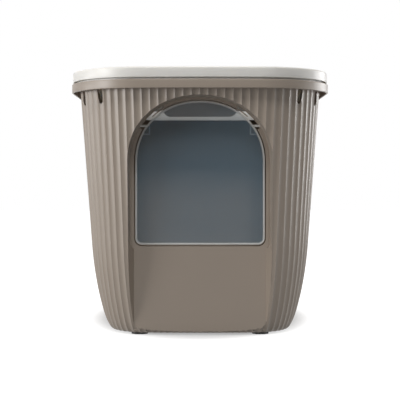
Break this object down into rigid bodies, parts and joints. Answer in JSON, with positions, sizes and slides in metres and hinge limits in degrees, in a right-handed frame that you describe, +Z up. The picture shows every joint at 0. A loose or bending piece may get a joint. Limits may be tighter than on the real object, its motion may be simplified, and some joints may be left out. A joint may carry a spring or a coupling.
{
  "type": "top entry litter box",
  "caption": "Covered cat litter box: fluted tub with a clear swing flap in an arched front bay, and a lift-off lid with a top entry opening.",
  "frame": {"origin": "on the floor under the middle of the box", "axes": "+Z up, +Y from the flap to the rear, +X to the right seen from the flap side"},
  "size_m": [0.391, 0.572, 0.391],
  "materials": {
    "taupe_plastic": "satin moulded",
    "white_plastic": "satin moulded",
    "clear_plastic": "clear gloss",
    "foot_rubber": "matte"
  },
  "bodies": {
    "tub": {"tub": "taupe_plastic", "foot_front_left": "foot_rubber", "foot_front_right": "foot_rubber", "foot_rear_left": "foot_rubber", "foot_rear_right": "foot_rubber"},
    "flap": {"flap": "clear_plastic"},
    "lid": {"lid": "white_plastic"}
  },
  "joints": [
    {"name": "flap_swing", "type": "hinge", "parent": "tub", "child": "flap", "pos_m": [0, -0.2245, 0.309], "axis": [1, 0, 0], "range_deg": [-40, 80]},
    {"name": "lid_lift", "type": "slide", "parent": "tub", "child": "lid", "axis": [0, 0, 1], "range_m": [0, 0.12]}
  ]
}
